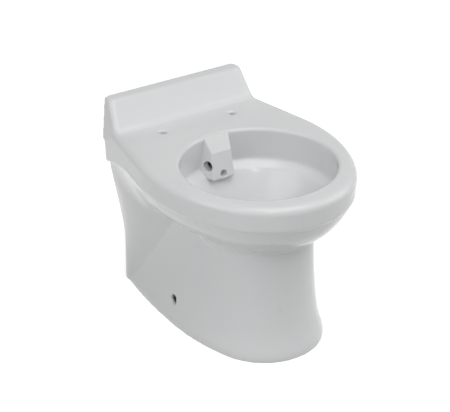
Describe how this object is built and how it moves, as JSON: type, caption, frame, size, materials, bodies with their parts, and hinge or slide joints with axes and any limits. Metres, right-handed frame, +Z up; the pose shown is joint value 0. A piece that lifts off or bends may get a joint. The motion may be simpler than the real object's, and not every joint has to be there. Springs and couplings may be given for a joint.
{
  "type": "back-to-wall toilet",
  "caption": "Back-to-wall toilet pan in glazed china with a rimless bowl, water distributor, raised back upstand, hidden floor fixings and pipe connections.",
  "frame": {"origin": "on the floor, in the middle of the width and of the depth", "axes": "+Z up, -Y to the front of the bowl, +Y to the wall, +X to the right of a person who looks at the front from the front, seen along +Y"},
  "size_m": [0.3794, 0.4872, 0.402],
  "materials": {
    "china": "smooth clear glaze over white vitreous china",
    "black_rubber": "moulded rubber",
    "white_plastic": "extruded white pipe plastic",
    "grey_plastic": "moulded grey soil pipe plastic",
    "zinc_steel": "zinc plated steel",
    "black_nylon": "moulded nylon"
  },
  "bodies": {
    "pan_body": {"pan": "china", "flush_distributor": "china", "inlet_seal": "black_rubber", "left_floor_bracket": "zinc_steel", "left_weld_nut": "zinc_steel", "right_floor_bracket": "zinc_steel", "right_weld_nut": "zinc_steel"},
    "flush_pipe_body": {"flush_pipe": "white_plastic"},
    "outlet_body": {"outlet_connector": "grey_plastic", "outlet_seal": "black_rubber"},
    "left_fixing": {"left_set_screw": "zinc_steel", "left_ferrule": "black_nylon"},
    "right_fixing": {"right_set_screw": "zinc_steel", "right_ferrule": "black_nylon"}
  },
  "joints": [
    {"name": "flush_pipe_pull", "type": "slide", "parent": "pan_body", "child": "flush_pipe_body", "axis": [0, 1, 0], "range_m": [0, 0.025]},
    {"name": "outlet_pull", "type": "slide", "parent": "pan_body", "child": "outlet_body", "axis": [0, 1, 0], "range_m": [0, 0.025]},
    {"name": "left_screw_travel", "type": "slide", "parent": "pan_body", "child": "left_fixing", "axis": [1, 0, 0], "range_m": [0, 0.008]},
    {"name": "right_screw_travel", "type": "slide", "parent": "pan_body", "child": "right_fixing", "axis": [-1, 0, 0], "range_m": [0, 0.008]}
  ]
}
